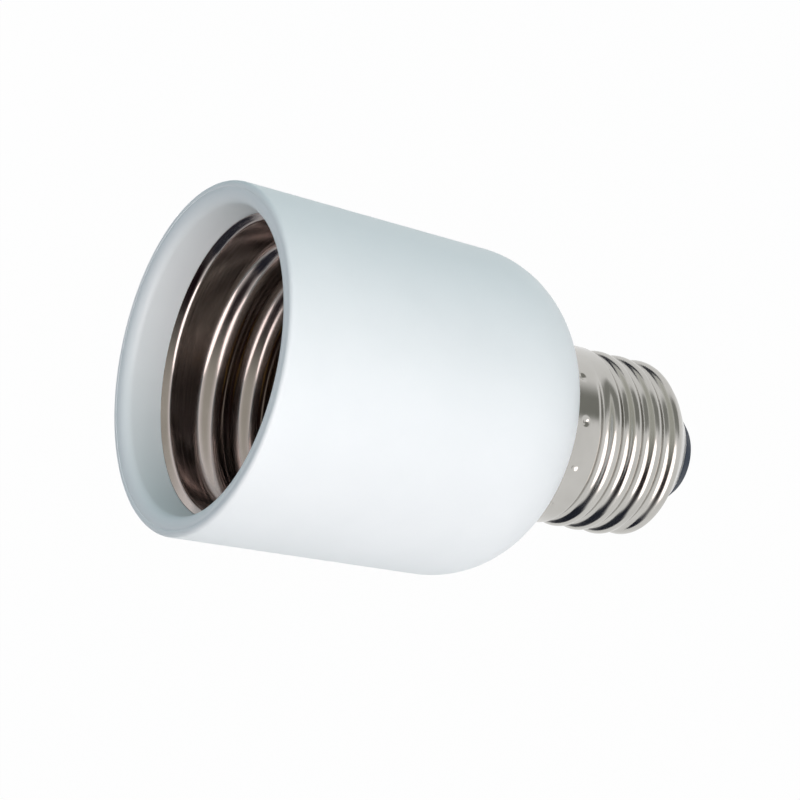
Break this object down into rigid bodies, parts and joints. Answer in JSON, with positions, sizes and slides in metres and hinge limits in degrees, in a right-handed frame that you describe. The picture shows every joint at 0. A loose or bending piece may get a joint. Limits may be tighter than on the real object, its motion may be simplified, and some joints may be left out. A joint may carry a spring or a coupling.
{
  "type": "lamp socket adapter",
  "caption": "Lamp socket adapter: a small screw cap below a white moulded body that holds a larger screw socket with a sprung centre contact.",
  "frame": {"origin": "on the axis at the tip of the small cap's solder, the lowest point", "axes": "+Z along the axis, out of the large socket's mouth; the two base screws lie on X"},
  "size_m": [0.0484, 0.0484, 0.08],
  "materials": {
    "white_moulding": "smooth satin moulded polyester",
    "base_moulding": "matt moulded brown phenolic disc",
    "plated_shell": "bright nickel plate on rolled sheet",
    "contact_brass": "stamped contact brass",
    "screw_steel": "zinc plated steel",
    "black_insulator": "black fused insulator",
    "solder": "dull solder",
    "live_insulation": "brown wire insulation",
    "neutral_insulation": "blue wire insulation"
  },
  "bodies": {
    "adapter": {"housing": "white_moulding", "socket_shell": "plated_shell", "contact_base": "base_moulding", "base_screws": "screw_steel", "contact_spring": "contact_brass", "contact_rivet": "contact_brass", "contact_tag": "contact_brass", "shell_rivet": "contact_brass", "shell_tag": "contact_brass", "live_lead": "live_insulation", "neutral_lead": "neutral_insulation", "cap_shell": "plated_shell", "cap_insulator": "black_insulator", "cap_contact": "contact_brass", "tip_solder": "solder"},
    "contact": {"contact_button": "contact_brass"}
  },
  "joints": [
    {"name": "contact_press", "type": "slide", "parent": "adapter", "child": "contact", "axis": [0, 0, -1], "range_m": [0, 0.0015], "stiffness_N_per_m": 3000, "deforming": ["contact_spring"]}
  ]
}
